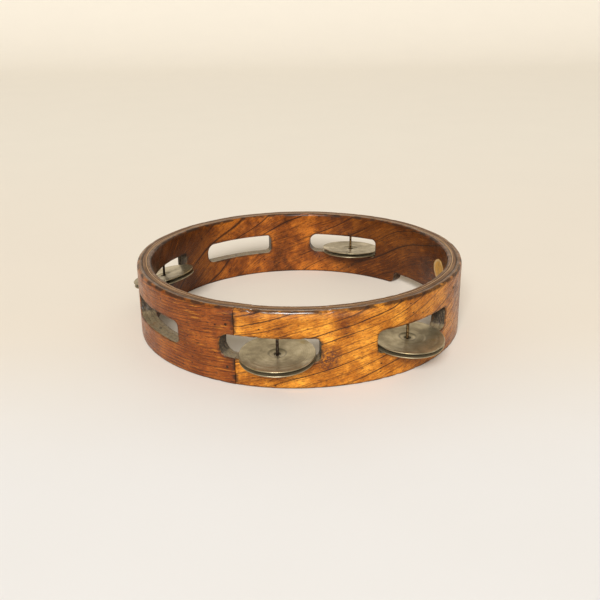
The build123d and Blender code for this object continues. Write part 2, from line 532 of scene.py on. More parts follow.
def growth_rings(graph, timber, along, across, far):
    """Ring lines: wide broken ones near the ply's start, and fine dashes towards its far end."""
    fine_per_ring = 3.1
    broken = graph.pattern(along, across, 5.0, stretch=(0.03, 1.0), scale=0.4)
    wide = ring_lines(graph, across, timber.ring_spacing, 0.20)
    wide = graph.times(wide, graph.span(broken, 0.34, 0.58, 0.15, 1.0))
    wide = graph.times(wide, graph.minus(1.0, graph.times(far, 0.7)))
    dashes = graph.pattern(along, across, 9.0, stretch=(0.07, 1.0), scale=0.8)
    fine = ring_lines(graph, across, timber.ring_spacing / fine_per_ring, 0.42)
    fine = graph.times(fine, graph.fade(dashes, 0.60, 0.42, 0.80))
    fine = graph.times(fine, graph.times_plus(far, 0.65, 0.35))
    return graph.most(wide, fine)


def pore_marks(graph, along, across, through, rings):
    """Short dark pores, denser in the rings."""
    pores = graph.pattern(along, across, through, stretch=(0.28, 1.8), roughness=0.8)
    return graph.times(graph.fade(pores, 0.53, 0.61), graph.times_plus(rings, 0.3, 0.7))


def speck_marks(graph, timber, along, up):
    """Scattered dark specks, in fields."""
    place = graph.join(graph.times(along, 0.6), up, timber.seed)
    specks = graph.fade(graph.cells(place, scale=0.25), 0.18, 0.08, 0.9)
    field = graph.fade(graph.pattern(along, up, timber.seed, scale=1 / 18), 0.44, 0.58)
    return graph.times(specks, field)


def bruise_mark(graph, timber, along, up):
    """A crazed dark bruise level with the slots' floors."""
    beside = graph.minus(along, timber.bruise_along)
    above = graph.minus(up, BRUISE_LEVEL)
    away = graph.math("SQRT", graph.times_plus(beside, beside, graph.times(above, above)))
    crazed = graph.pattern(along, up, timber.seed, scale=0.8, roughness=0.7)
    return graph.times(graph.fade(away, *BRUISE_REACH), graph.fade(crazed, 0.42, 0.56))


def dirt_and_shade_marks(graph, along, up, edge, grime):
    """Old dirt along the edges, the seam and the brow, and painted contact shade along the foot."""
    at_edges = graph.times(graph.fade(edge, *EDGE_DIRT), graph.span(grime, 0.34, 0.60, 0.15, 0.95))
    to_seam = graph.math("MINIMUM", along, graph.minus(LENGTH, along))
    at_seam = graph.times(graph.fade(to_seam, *SEAM_DIRT), graph.fade(grime, 0.42, 0.56))
    # Painted shade: an even dark band along the foot, where the rim meets the floor.
    contact_shade = graph.fade(up, *FOOT_SHADE, 0.9)
    at_brow = graph.times(graph.fade(up, *BROW_DIRT), graph.fade(grime, 0.40, 0.54))
    return graph.most(at_edges, at_seam, contact_shade, at_brow)


def varnished_wood(name, timber):
    """Old varnished ring-porous wood: rings, pores, blotches, dirt, worn edges, painted shade and painted
    sheen.
    """
    graph = Graph(name)
    along, up, through = in_millimetres(graph, "grain")
    across = across_rings(graph, timber, along, up, through)
    edge = graph.times(graph.attribute("edge", "Fac"), 1 / MM)
    far = graph.fade(along, LENGTH * 0.55, LENGTH * 0.97)
    grime = graph.pattern(along, up, timber.seed, stretch=(0.5, 1.0), scale=1 / 4, detail=4.0)

    rings = growth_rings(graph, timber, along, across, far)
    pores = pore_marks(graph, along, across, through, rings)
    bruise = bruise_mark(graph, timber, along, up)
    dirt_and_shade = dirt_and_shade_marks(graph, along, up, edge, grime)
    rubbed = graph.times(graph.fade(edge, *RUBBED_EDGE), graph.fade(grime, 0.54, 0.42))
    colour = timber_colour(graph, timber, along, up, across, far)
    for marks, share, mark_colour in (
        (rings, 0.90, timber.line),
        (pores, 0.92, timber.line),
        (speck_marks(graph, timber, along, up), 1.0, timber.line),
        (bruise, 0.8, BRUISE_BROWN),
        (dirt_and_shade, 0.85, DIRT_AND_SHADE_DARK),
        (rubbed, 0.12, timber.pale),
    ):
        colour = graph.mix(graph.times(marks, share), colour, mark_colour)

    cut_colour, _ = cut_face(graph, along, up, through)
    frayed_edge = graph.times_plus(grime, 0.3, graph.minus(edge, 0.15))
    colour = graph.mix(graph.fade(frayed_edge, 0.12, -0.12), colour, cut_colour)

    gloss = graph.times_plus(dirt_and_shade, 0.10, graph.span(grime, 0.35, 0.70, 0.28, 0.46))
    pits = graph.times_plus(rings, -0.6, graph.times(pores, -1.0))
    pits = graph.times_plus(bruise, -1.5, pits)
    flow = graph.pattern(along, up, timber.seed, scale=1 / 3.2, detail=2.0)
    normal = graph.bump(pits, strength=0.45, distance=0.30 * MM)
    normal = graph.bump(flow, strength=0.30, distance=0.40 * MM, under=normal)
    graph.set(Base_Color=colour, Roughness=gloss, Normal=normal)

    at_front = graph.fade(graph.split(graph.object_point())[1], *VARNISH_FRONT)
    thick_varnish = graph.times_plus(graph.fade(up, *VARNISH_ROLL, 0.75), at_front, 0.25)
    graph.set(Coat_Weight=thick_varnish, Coat_Roughness=0.21, Specular_IOR_Level=0.12)
    return graph.material


def cut_wood(name):
    """The core ply, which shows only its cut faces."""
    graph = Graph(name)
    colour, fibre = cut_face(graph, *in_millimetres(graph, "grain"))
    gloss = graph.span(fibre, 0.3, 0.7, 0.6, 0.42)
    graph.set(Base_Color=colour, Roughness=gloss, Specular_IOR_Level=0.25)
    graph.set(Normal=graph.bump(fibre, strength=0.4, distance=0.3 * MM))
    return graph.material


def tarnished_sheet(name, seed):
    """Old nickel silver: turned marks, smoky tarnish, a yellow bloom, and a dirty middle whose ring round
    the boss is partly painted shade.
    """
    graph = Graph(name)
    x, y, _ = in_millimetres(graph, "disc")
    squares = graph.math("ADD", graph.math("POWER", x, 2.0), graph.math("POWER", y, 2.0))
    radius = graph.math("SQRT", squares)

    smoke = graph.pattern(x, y, seed, scale=1 / 14, detail=4.0, roughness=0.6)
    bloom = graph.pattern(x, y, seed + 7.0, scale=1 / 17, detail=2.0)
    soot = graph.pattern(x, y, seed + 13.0, scale=1 / 8, detail=5.0, roughness=0.65)
    turned = graph.noise(graph.join(graph.times(radius, 1.6), seed), detail=3.0, roughness=0.7)
    dents = graph.pattern(x, y, seed, scale=1 / 7, detail=2.0)
    from_ring = graph.math("ABSOLUTE", graph.minus(radius, BOSS_FOOT_RADIUS / MM - 0.6))

    colour = graph.ramp(smoke, ((0.32, SHEET_DARK), (0.50, SHEET_GREY), (0.68, SHEET_BRIGHT)))
    colour = graph.mix(graph.fade(bloom, 0.60, 0.74, 0.6), colour, YELLOW_BLOOM)
    colour = graph.mix(graph.fade(soot, 0.58, 0.76, 0.55), colour, SOOT_GREY)
    # Grime ring round the boss, partly painted shade of its slope.
    colour = graph.mix(graph.fade(from_ring, 1.1, 0.2, 0.55), colour, BOSS_RING_GRIME_SHADE)
    colour = graph.mix(graph.fade(radius, 4.2, 2.4, 0.5), colour, HOLE_GRIME)
    colour = graph.mix(graph.fade(turned, 0.45, 0.62, 0.25), colour, TURNED_MARK)

    normal = graph.bump(turned, strength=0.25, distance=0.12 * MM)
    normal = graph.bump(dents, strength=0.30, distance=0.8 * MM, under=normal)
    gloss = graph.span(smoke, 0.3, 0.7, 0.46, 0.30)
    gloss = graph.times_plus(graph.fade(soot, 0.6, 0.78), 0.2, gloss)
    graph.set(Base_Color=colour, Metallic=0.8, Roughness=gloss, Normal=normal)
    return graph.material


def dark_wire(name, bright, rust):
    """Darkened steel wire with patches of rust and rubbed metal."""
    graph = Graph(name)
    point = graph.object_point()
    grime = graph.noise(point, scale=700.0, detail=4.0)
    colour = graph.ramp(grime, ((0.35, DIRT_AND_SHADE_DARK), (0.52, rust), (0.70, bright)))
    gloss = graph.span(grime, 0.3, 0.7, 0.62, 0.35)
    normal = graph.bump(graph.noise(point, scale=1800.0), strength=0.4, distance=0.1 * MM)
    graph.set(Base_Color=colour, Metallic=0.8, Roughness=gloss, Normal=normal)
    return graph.material


def aged_paper(name):
    """Blank oval label: tan border, golden middle, stains, under a film of varnish."""
    graph = Graph(name)
    share = graph.attribute("oval", "Fac")
    point = graph.object_point()
    stain = graph.noise(point, scale=220.0, detail=5.0, roughness=0.6)
    middle = graph.ramp(stain, ((0.32, LABEL_GOLD_DARK), (0.62, LABEL_GOLD)))
    border = graph.ramp(stain, ((0.32, LABEL_TAN_DARK), (0.62, LABEL_TAN)))
    in_border = graph.times(graph.fade(share, 0.80, 0.83), graph.fade(share, 0.99, 0.96))
    fibres = graph.noise(point, scale=1500.0, detail=3.0)
    gloss = graph.span(stain, 0.3, 0.7, 0.4, 0.6)
    normal = graph.bump(fibres, strength=0.3, distance=0.1 * MM)
    graph.set(Base_Color=graph.mix(in_border, middle, border), Roughness=gloss, Normal=normal)
    graph.set(Coat_Weight=0.2, Coat_Roughness=0.3)
    return graph.material


def studio_paper():
    """Pale seamless paper: cool and white before the object, darker and warmer under it with painted
    shade, and warmer behind.
    """
    graph = Graph("studio_paper")
    point = graph.object_point()
    back = graph.split(point)[1]
    fibres = graph.noise(point, scale=9.0, detail=3.0)
    # Painted shade: from just before the object the paper turns darker and warmer, as if shaded and lit
    # by light off the wood.
    colour = graph.mix(graph.fade(back, -0.25, 0.0), PAPER_FRONT, PAPER_SHADED)
    colour = graph.mix(graph.fade(back, 0.1, 0.9), colour, PAPER_BEHIND)
    colour = graph.mix(graph.fade(fibres, 0.3, 0.7, 0.05), colour, PAPER_FIBRE)
    graph.set(Base_Color=colour, Roughness=0.75, Specular_IOR_Level=0.25)
    return graph.material


# === The rim's plies ===
# Each is one sheet of quads, unrolled as (length along the wall, height), with the slots and the
# hand-hold cut out of it.  It is then bent and given its thickness.

COLUMN_STEP = 1.8 * MM
ROW_STEP = 2.0 * MM
BLOCK_MARGIN = 6.0 * MM
BLOCK_LOW = SLOT_FLOOR - BLOCK_MARGIN
BLOCK_HIGH = SLOT_CEILING + BLOCK_MARGIN
ROUND_STEPS = 4
SLOT_ROUND = 0.6 * MM
GLUE_ROUND = 0.12 * MM
SEAM_ROUND = 0.25 * MM
NOTCH_FOOT_ROUND = 5.7 * MM
NOTCH_BOTTOM = -20.0 * MM
BESIDE_SEAM = (0.0, 0.1 * MM, SEAM_ROUND, 0.8 * MM)
BESIDE_SLOT = (1.2 * MM, 2.2 * MM)
TOLERANCE = 0.01 * MM

# How uneven the hand-made hoop is: waves per radius round the hoop and per metre up it, and size
SWELL = (2.2, 14.0, 0.0, 0.45 * MM)
RIPPLE = (9.0, 60.0, 4.0, 0.12 * MM)
TOP_LIFT = (4.0, 0.0, 9.0, 0.35 * MM)

# Chips and dents along the edges
CHIP_REACH = 2.4 * MM
CHIP_LENGTH = 7.0 * MM
CHIP_HEIGHT = 9.0 * MM
CHIP_LEVELS = (0.16, 0.62)
CHIP_DEPTH = 0.15 * MM
FRONT_CHIP_DEPTH = 0.6 * MM
FRONT_CENTRE = 20 * MM
FRONT_HALF_LENGTHS = (100 * MM, 50 * MM)
CHIP_SINK_SHARE = 0.8
CHIP_SEED = 3.7

# The outer ply's far end stands a little proud at the seam
PROUD_END = 0.3 * MM
PROUD_LENGTH = 14 * MM


@dataclass
class Opening:
    """A window in the unrolled wall, with a corner radius for each end."""

    start: float
    end: float
    low: float
    high: float
    start_corner: float
    end_corner: float

    def away(self, along, up):
        """Offset from the corner's centre, or from the nearest straight stretch's inner line."""
        nearer_start = along < (self.start + self.end) / 2
        corner = self.start_corner if nearer_start else self.end_corner
        core_along = min(max(along, self.start + corner), self.end - corner)
        core_up = min(max(up, self.low + corner), self.high - corner)
        return Vector((along - core_along, up - core_up)), corner

    def distance(self, along, up):
        offset, corner = self.away(along, up)
        return offset.length - corner

    def nearest(self, along, up):
        """Point of the outline nearest to a point outside it."""
        offset, corner = self.away(along, up)
        share = 1 - corner / offset.length
        return (along - offset.x * share, up - offset.y * share)

    @property
    def closed(self):
        return self.low > 0


def slot_opening(slot):
    middle = length_at(slot.centre)
    start, end = middle - SLOT_HALF_LENGTH, middle + SLOT_HALF_LENGTH
    return Opening(start, end, SLOT_FLOOR, SLOT_CEILING, slot.start_corner, slot.end_corner)


NOTCH = Opening(
    length_at(NOTCH_START),
    length_at(NOTCH_END),
    NOTCH_BOTTOM,
    NOTCH_HEIGHT,
    NOTCH_CORNER,
    NOTCH_CORNER,
)
OPENINGS = [slot_opening(slot) for slot in SLOTS] + [NOTCH]


@dataclass
class Ply:
    """One ply's radii, its seam, and how its edges are eased on each side."""

    name: str
    inner: float
    outer: float
    seam: float
    outer_ease: dict
    inner_ease: dict

    @property
    def shows_outside(self):
        return self.outer_ease is not GLUED


def ease(top, bottom, slot, top_height=None):
    """Depths of one face's rounded edges.  The top one may be taller than it is deep."""
    return {"top": top, "bottom": bottom, "slot": slot, "top_height": top_height or top}


GLUED = ease(GLUE_ROUND, GLUE_ROUND, GLUE_ROUND)
OUTER_EASE = ease(1.7 * MM, 1.0 * MM, SLOT_ROUND, top_height=3.4 * MM)
BORE_EASE = ease(1.6 * MM, 0.8 * MM, SLOT_ROUND, top_height=2.6 * MM)
PLIES = [
    Ply("outer_ply_wood", OUTER_GLUE_RADIUS, RIM_RADIUS, OUTER_SEAM, OUTER_EASE, GLUED),
    Ply("middle_ply_wood", INNER_GLUE_RADIUS, OUTER_GLUE_RADIUS, MIDDLE_SEAM, GLUED, GLUED),
    Ply("inner_ply_wood", BORE_RADIUS, INNER_GLUE_RADIUS, INNER_SEAM, GLUED, BORE_EASE),
]


def rounded_steps(size):
    """Distances from an edge at which a quarter round of this size is cut into facets."""
    turns = [math.radians(90 * step / ROUND_STEPS) for step in range(ROUND_STEPS + 1)]
    return [size * (1 - math.cos(turn)) for turn in turns]


def rounded_inset(distance, height, depth):
    """How deep a quarter ellipse lies below its face, this far from its edge."""
    if distance >= height:
        return 0.0
    share = 1 - max(distance, 0.0) / height
    return depth * (1 - math.sqrt(1 - share * share))


def spaced(limits, step):
    """Values through the limits in order, never further apart than the step."""
    values = []
    for low, high in zip(limits, limits[1:]):
        count = max(1, math.ceil((high - low) / step - 0.01))
        values += [low + (high - low) * index / count for index in range(count)]
    return values + [limits[-1]]


def wall_columns(ply):
    """Places along the wall of the sheet's columns; no cell fills the seam between two of them."""
    half = PLY_LENGTH / 2
    seam = length_at(ply.seam)
    limits = [-half, half]
    for side in (-1, 1):
        limits += [seam + side * (SEAM_GAP / 2 + offset) for offset in BESIDE_SEAM]
    for opening in OPENINGS:
        limits += [opening.start - BLOCK_MARGIN, opening.end + BLOCK_MARGIN]
    return spaced(sorted(limits), COLUMN_STEP)


def wall_rows(ply):
    top = max(ply.outer_ease["top_height"], ply.inner_ease["top_height"])
    bottom = max(ply.outer_ease["bottom"], ply.inner_ease["bottom"])
    rows = rounded_steps(bottom)[:-1]
    rows += spaced([bottom, BLOCK_LOW, BLOCK_HIGH, RIM_DEPTH - top], ROW_STEP)
    return rows + [RIM_DEPTH - size for size in reversed(rounded_steps(top)[:-1])]


def perimeter(opening, columns, rows):
    """Grid points round an opening's block, anticlockwise as seen from outside the rim."""
    start, end = opening.start - BLOCK_MARGIN, opening.end + BLOCK_MARGIN
    across = [along for along in columns if start - TOLERANCE < along < end + TOLERANCE]
    bottom = BLOCK_LOW if opening.closed else 0.0
    top = BLOCK_HIGH if opening.closed else BLOCK_LOW
    upward = [up for up in rows if bottom - TOLERANCE < up < top + TOLERANCE]
    points = [(across[-1], up) for up in upward]
    points += [(along, top) for along in reversed(across[:-1])]
    points += [(across[0], up) for up in reversed(upward[:-1])]
    if opening.closed:
        points += [(along, bottom) for along in across[1:]]
    return points


def ring_layers(near, far):
    """Points from an outline out to the block's edge, close together near the outline."""
    reach = math.dist(near, far)
    offsets = [*rounded_steps(SLOT_ROUND), *BESIDE_SLOT]
    rest = reach - offsets[-1]
    offsets += [offsets[-1] + rest * share for share in (0.33, 0.66)]
    shares = [offset / reach for offset in offsets] + [1.0]
    run, rise = far[0] - near[0], far[1] - near[1]
    return [(near[0] + run * share, near[1] + rise * share) for share in shares]


def in_a_block(along, up):
    for opening in OPENINGS:
        beside = opening.start - BLOCK_MARGIN < along < opening.end + BLOCK_MARGIN
        level = BLOCK_LOW < up < BLOCK_HIGH if opening.closed else up < BLOCK_LOW
        if beside and level:
            return True
    return False


def wall_cells(ply):
    """Quads of the sheet, as their four corners."""
    columns, rows = wall_columns(ply), wall_rows(ply)
    seam = length_at(ply.seam)

    def on_seam(first, second):
        return abs((first + second) / 2 - seam) < SEAM_GAP / 4 and first != second

    for left, right in zip(columns, columns[1:]):
        if on_seam(left, right):
            continue
        for low, high in zip(rows, rows[1:]):
            if not in_a_block((left + right) / 2, (low + high) / 2):
                yield (left, low), (right, low), (right, high), (left, high)
    for opening in OPENINGS:
        points = perimeter(opening, columns, rows)
        ladders = [ring_layers(opening.nearest(*point), point) for point in points]
        for here, there, first, second in zip(points, points[1:], ladders, ladders[1:]):
            if on_seam(here[0], there[0]):
                continue
            for rung in range(len(first) - 1):
                yield first[rung + 1], second[rung + 1], second[rung], first[rung]


def eased_corner(along, up):
    """Rounds the notch's two feet, by turning squares round each foot into circles."""
    for foot, side in ((NOTCH.start, -1), (NOTCH.end, 1)):
        beside = (along - foot) * side
        if -TOLERANCE < beside < NOTCH_FOOT_ROUND and up < NOTCH_FOOT_ROUND:
            x, y = NOTCH_FOOT_ROUND - beside, NOTCH_FOOT_ROUND - up
            scale = max(x, y) / math.hypot(x, y)
            return foot + side * (NOTCH_FOOT_ROUND - x * scale), NOTCH_FOOT_ROUND - y * scale
    return along, up


def hand_made(along, up, radius):
    """Bends the unrolled wall, a little unevenly, into a hoop."""
    angle = arc_angle(along)
    place = polar(angle, 1.0, up)

    def wave(around, upward, start, size):
        return noise.noise(Vector((place.x * around, place.y * around, up * upward + start))) * size

    lift = wave(*TOP_LIFT) * up / RIM_DEPTH
    return polar(angle, radius + wave(*SWELL) + wave(*RIPPLE), up + lift)


def chip(along, up, distance):
    """Depth of the dents and chips along an edge."""
    if distance > CHIP_REACH:
        return 0.0
    place = Vector((along / CHIP_LENGTH, up / CHIP_HEIGHT, CHIP_SEED))
    loss = smooth_step(*CHIP_LEVELS, noise.fractal(place, 0.8, 2.1, 3))
    at_front = smooth_step(*FRONT_HALF_LENGTHS, abs(along - FRONT_CENTRE))
    depth = CHIP_DEPTH + FRONT_CHIP_DEPTH * at_front
    return loss * depth * (1 - distance / CHIP_REACH)


def sheet_quads(ply):
    """The sheet's points, as (along, up, length from the seam), and its quads as indices."""
    seam = length_at(ply.seam)
    spots, places, quads = {}, [], []
    for cell in wall_cells(ply):
        quad = []
        for along, up in cell:
            wrapped = (along - seam) % PLY_LENGTH
            key = (round(wrapped / MM, 3), round(up / MM, 3))
            if key not in spots:
                spots[key] = len(places)
                places.append((along, up, wrapped))
            quad.append(spots[key])
        if len(set(quad)) == len(quad):
            quads.append(quad)
    return places, quads


def face_inset(eased, up, to_hole, to_seam, dent):
    """How far rounded edges and dents sink one face of a ply."""
    slot_share = eased["slot"] / SLOT_ROUND
    rounded = max(
        rounded_inset(RIM_DEPTH - up, eased["top_height"], eased["top"]),
        rounded_inset(up, eased["bottom"], eased["bottom"]),
        rounded_inset(to_hole, eased["slot"], eased["slot"]),
        rounded_inset(to_seam, SEAM_ROUND, SEAM_ROUND * slot_share),
    )
    return rounded + dent * slot_share


def ply_mesh(ply):
    """Closed mesh of a ply with its grain and edge attributes."""
    places, quads = sheet_quads(ply)
    mesh = bmesh.new()
    grain = mesh.verts.layers.float_vector.new("grain")
    edge = mesh.verts.layers.float.new("edge")

    def add(along, up, wrapped, radius, edge_distance):
        vert = mesh.verts.new(hand_made(along, up, radius))
        vert[grain] = (wrapped, up, radius)
        vert[edge] = edge_distance
        return vert

    outside, inside = [], []
    for along, up, wrapped in places:
        to_hole = min(opening.distance(along, up) for opening in OPENINGS)
        to_seam = min(wrapped, PLY_LENGTH - wrapped) - SEAM_GAP / 2
        nearest = min(to_hole, up, RIM_DEPTH - up)
        dent = chip(along, up, nearest)
        outer = ply.outer - face_inset(ply.outer_ease, up, to_hole, to_seam, dent)
        inner = ply.inner + face_inset(ply.inner_ease, up, to_hole, to_seam, dent)
        if ply.shows_outside:
            outer += PROUD_END * smooth_step(PROUD_LENGTH, 0.0, PLY_LENGTH - wrapped)
        flat_along, flat_up = eased_corner(along, up)
        sunk = dent * CHIP_SINK_SHARE * smooth_step(CHIP_REACH, 0.0, RIM_DEPTH - up)
        outside.append(add(flat_along, flat_up - sunk, wrapped, outer, nearest))
        inside.append(add(flat_along, flat_up, wrapped, inner, nearest))

    uses = {}
    for quad in quads:
        mesh.faces.new([outside[index] for index in quad])
        mesh.faces.new([inside[index] for index in reversed(quad)])
        for first, second in zip(quad, quad[1:] + quad[:1]):
            uses[first, second] = uses.get((first, second), 0) + 1
    middles = {}
    for first, second in uses:
        if (second, first) in uses:
            continue
        for index in (first, second):
            if index not in middles:
                along, up, wrapped = places[index]
                flat_along, flat_up = eased_corner(along, up)
                radius = (ply.inner + ply.outer) / 2
                middles[index] = add(flat_along, flat_up, wrapped, radius, (ply.inner - ply.outer) / 2)
        mesh.faces.new([outside[second], outside[first], middles[first], middles[second]])
        mesh.faces.new([middles[second], middles[first], inside[first], inside[second]])
    return mesh


def build_rim():
    outer_wood = varnished_wood("outer_varnish", OUTER_TIMBER)
    core_wood = cut_wood("core_wood")
    inner_wood = varnished_wood("inner_varnish", INNER_TIMBER)
    for ply, material in zip(PLIES, (outer_wood, core_wood, inner_wood)):
        piece = add_object(ply.name, ply_mesh(ply), material)
        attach(piece, "rim")
        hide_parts(ply.name.removesuffix("_wood"))


# === Small parts: lathe work, label and tacks ===


def lathe(profile, segments, place, shape=None, layer=None):
    """Closed surface turned from a profile of (radius, height), put where place says.

    shape gives a point's small offset from its (turn, radius).  layer names an attribute that
    keeps each point's own coordinates.
    """
    mesh = bmesh.new()
    kept = mesh.verts.layers.float_vector.new(layer) if layer else None
    rings = []
    for radius, height in profile:
        ring = []
        for step in range(segments):
            turn = 2 * math.pi * step / segments
            offset = shape(turn, radius) if shape else Vector((0, 0, 0))
            local = Vector((radius * math.cos(turn), radius * math.sin(turn), height)) + offset
            vert = mesh.verts.new(place @ local)
            if kept:
                vert[kept] = local
            ring.append(vert)
        rings.append(ring)
    skin(mesh, rings)
    if profile[0] == profile[-1]:
        bmesh.ops.remove_doubles(mesh, verts=rings[0] + rings[-1], dist=0.001 * MM)
    else:
        mesh.faces.new(list(reversed(rings[0])))
        mesh.faces.new(rings[-1])
    bmesh.ops.recalc_face_normals(mesh, faces=mesh.faces)
    return mesh


JINGLE_SEGMENTS = 144
JINGLE_STEPS = 44
JINGLE_EDGE_STEPS = 6
JINGLE_SPIN = 1.7
BOSS_BLEND = 0.5 * MM
STAMPED_RINGS = (0.44, 0.80)
STAMPED_WIDTH = 0.7 * MM
STAMPED_HEIGHT = 0.10 * MM
RIDGE_PITCH = 0.55 * MM
RIDGE_HEIGHT = 0.012 * MM
SADDLE_HEIGHT = 0.07 * MM
WOBBLE_HEIGHT = 0.04 * MM

PIN_SEGMENTS = 20
PIN_STEP = 1.5 * MM
PIN_HEAD_HEIGHT = 0.8 * MM
PIN_POINT_LENGTH = 2.5 * MM
PIN_TIP_RADIUS = 0.2 * MM
PIN_UNEVENNESS = 0.03 * MM

TACK_SEGMENTS = 24
TACK_DOME_STEPS = 6
TACK_DOME_HEIGHT = 0.32 * MM
TACK_SINK = 0.5 * MM

LABEL_HALF_LENGTH = 13.5 * MM
LABEL_RINGS = 14
LABEL_SEGMENTS = 72
LABEL_CURL = 0.12 * MM
LABEL_PRESSED_SHARE = 0.75


def jingle_height(radius):
    """Height of a jingle's middle surface over its rim: cone, stamped rings and boss."""
    share = (JINGLE_RADIUS - radius) / (JINGLE_RADIUS - BOSS_FOOT_RADIUS)
    height = JINGLE_CONE_RISE * min(share, 1.0)
    height += BOSS_RISE * smooth_step(BOSS_FOOT_RADIUS + BOSS_BLEND, BOSS_TOP_RADIUS - BOSS_BLEND, radius)
    for place in STAMPED_RINGS:
        away = (radius - place * JINGLE_RADIUS) / STAMPED_WIDTH
        height += STAMPED_HEIGHT * math.exp(-away * away)
    ridges = math.sin(radius / RIDGE_PITCH) * smooth_step(1.0, 0.9, radius / JINGLE_RADIUS)
    return height + RIDGE_HEIGHT * ridges


def jingle_profile():
    """Section of the disc: underside, rounded rim, top and the edge of the hole."""
    half = JINGLE_SHEET / 2
    rim_start = JINGLE_RADIUS - half
    hole_end = JINGLE_HOLE_RADIUS + half * 0.5
    flat = rim_start - hole_end
    radii = [hole_end + flat * step / JINGLE_STEPS for step in range(JINGLE_STEPS + 1)]
    under = [(radius, jingle_height(radius)) for radius in radii]
    top = [(radius, jingle_height(radius) + JINGLE_SHEET) for radius in reversed(radii)]
    rim_level = jingle_height(rim_start) + half
    hole_level = jingle_height(hole_end) + half
    rim, hole = [], []
    for step in range(1, JINGLE_EDGE_STEPS):
        turn = math.pi * step / JINGLE_EDGE_STEPS - math.pi / 2
        rim.append((rim_start + half * math.cos(turn), rim_level + half * math.sin(turn)))
        hole.append((hole_end - half * 0.5 * math.cos(turn), hole_level - half * math.sin(turn)))
    return under + rim + top + hole + under[:1]


def bent_disc(seed):
    """Slight saddle and wobble of one jingle, small enough to keep clear of its partner."""
    chance = random.Random(seed)
    tilt, twist = chance.uniform(0, math.tau), chance.uniform(0, math.tau)

    def shape(turn, radius):
        share = (radius / JINGLE_RADIUS) ** 2
        saddle = SADDLE_HEIGHT * share * math.cos(2 * turn + tilt)
        wobble = WOBBLE_HEIGHT * share * math.cos(5 * turn + twist)
        return Vector((0, 0, saddle + wobble))

    return shape


def pin_angle(slot):
    low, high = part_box("pin_" + slot.name)
    return angle_of((low + high) / 2)


def stack_place(slot):
    """Frame of a slot's jingles, at rest on the slot's floor and leaning outwards."""
    turn = Matrix.Rotation(math.radians(pin_angle(slot) - 90), 4, "Z")
    lean = Matrix.Rotation(math.radians(slot.lean), 4, "Y")
    rest_level = SLOT_FLOOR + JINGLE_CLEARANCE + WALL / 2 * math.tan(math.radians(slot.lean))
    return turn @ Matrix.Translation((WALL_MIDDLE, 0, rest_level)) @ lean


def build_jingles():
    flipped = Matrix.Translation((0, 0, BOSS_TO_BOSS)) @ Matrix.Rotation(math.pi, 4, "X")
    for index, slot in enumerate(FITTED_SLOTS):
        for level, turn in (("lower", Matrix.Identity(4)), ("upper", flipped)):
            node = f"{level}_jingle_{slot.name}"
            seed = index * 2 + (level == "upper")
            spin = Matrix.Rotation(seed * JINGLE_SPIN, 4, "Z")
            place = stack_place(slot) @ turn @ spin
            name = node + "_sheet"
            mesh = lathe(jingle_profile(), JINGLE_SEGMENTS, place, bent_disc(seed), "disc")
            piece = add_object(name, mesh, tarnished_sheet("tarnished_" + node, seed * 3.1))
            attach(piece, node)
            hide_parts(node)


# Bright and rusty colours of each pin
PIN_COLOURS = {
    "front": ((0.10, 0.095, 0.085), (0.05, 0.035, 0.025)),
    "front_right": ((0.34, 0.24, 0.10), (0.16, 0.09, 0.035)),
    "rear_right": ((0.34, 0.24, 0.10), (0.16, 0.09, 0.035)),
    "side_left": ((0.07, 0.06, 0.05), (0.03, 0.02, 0.015)),
}


def build_pins():
    """Wire nails up through the slots: a flat head below, and a point in the wood above."""
    for slot in FITTED_SLOTS:
        node = "pin_" + slot.name
        low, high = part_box(node)
        head = (high.x - low.x) / 2
        length = high.z - low.z
        profile = [(head * 0.9, 0.0), (head, 0.1 * MM), (head, 0.7 * MM), (head * 0.8, PIN_HEAD_HEIGHT)]
        shank = [PIN_HEAD_HEIGHT + TOLERANCE, length - PIN_POINT_LENGTH]
        profile += [(PIN_RADIUS, level) for level in spaced(shank, PIN_STEP)]
        profile += [(PIN_TIP_RADIUS, length)]
        uneven = noise.noise(Vector((pin_angle(slot), 0.0, 0.0))) * PIN_UNEVENNESS

        def out_of_round(turn, radius, uneven=uneven):
            return Vector((uneven * radius / PIN_RADIUS * math.cos(3 * turn), 0, 0))

        name = node + "_wire"
        place = Matrix.Translation(polar(pin_angle(slot), WALL_MIDDLE, low.z))
        mesh = lathe(profile, PIN_SEGMENTS, place, out_of_round)
        piece = add_object(name, mesh, dark_wire(name, *PIN_COLOURS[slot.name]))
        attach(piece, "rim")
        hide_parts(node)


def build_tacks():
    """Domed heads beside the outer seam, above and below its slot, and over the middle seam."""
    beside_seam = OUTER_SEAM - arc_angle(TACK_TO_SEAM)
    over_seam = MIDDLE_SEAM - arc_angle(TACK_TO_SEAM)
    places = [
        (beside_seam, RIM_DEPTH - TACK_FROM_EDGE - TACK_HEAD_RADIUS),
        (beside_seam, TACK_FROM_EDGE + TACK_HEAD_RADIUS),
        (over_seam, RIM_DEPTH - TACK_FROM_EDGE + TACK_HEAD_RADIUS),
    ]
    profile = [(TACK_HEAD_RADIUS * 0.9, -TACK_SINK), (TACK_HEAD_RADIUS, -0.1 * MM)]
    for step in range(1, TACK_DOME_STEPS):
        turn = math.radians(90 * step / TACK_DOME_STEPS)
        profile.append((TACK_HEAD_RADIUS * math.cos(turn), TACK_DOME_HEIGHT * math.sin(turn)))
    steel = dark_wire("tack_steel", (0.12, 0.09, 0.06), (0.06, 0.03, 0.015))
    for index, (angle, level) in enumerate(places):
        outward = polar(angle, 1.0, 0.0).to_track_quat("Z", "Y").to_matrix().to_4x4()
        centre = hand_made(length_at(angle), level, RIM_RADIUS)
        name = f"rim_tack_head_{index}"
        place = Matrix.Translation(centre) @ outward
        piece = add_object(name, lathe(profile, TACK_SEGMENTS, place), steel)
        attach(piece, "rim")
    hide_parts("rim_tacks")


